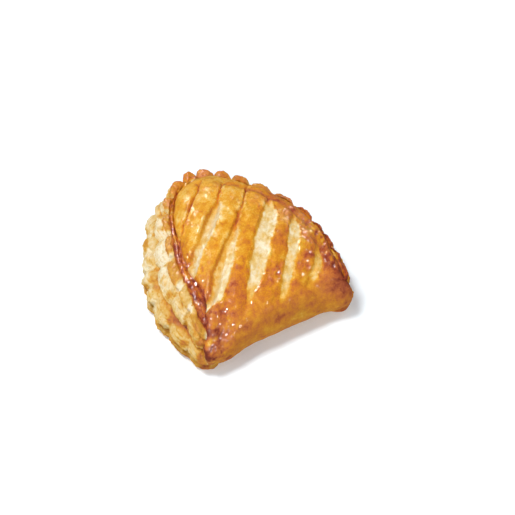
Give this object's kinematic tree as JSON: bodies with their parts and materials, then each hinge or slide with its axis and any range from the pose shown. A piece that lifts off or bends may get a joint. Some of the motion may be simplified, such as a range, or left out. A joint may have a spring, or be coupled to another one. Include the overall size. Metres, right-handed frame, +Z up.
{
  "type": "apple turnover",
  "caption": "Baked puff pastry turnover: a domed, slashed and glazed top folded over its filling, with a rounded fold and a scalloped, layered rim.",
  "frame": {"origin": "middle of the bounding box, on the flat base that the turnover rests on", "axes": "+Z up; +Y from the rounded fold to the tip of the scalloped rim; +X along the fold, to the right when the fold is nearest"},
  "size_m": [0.1188, 0.1302, 0.0429],
  "materials": {
    "baked_crust": "egg-washed puff pastry, glossy golden brown on top, matt and pale in the cut layers and slashes"
  },
  "bodies": {
    "root": {"turnover": "baked_crust"}
  },
  "joints": []
}
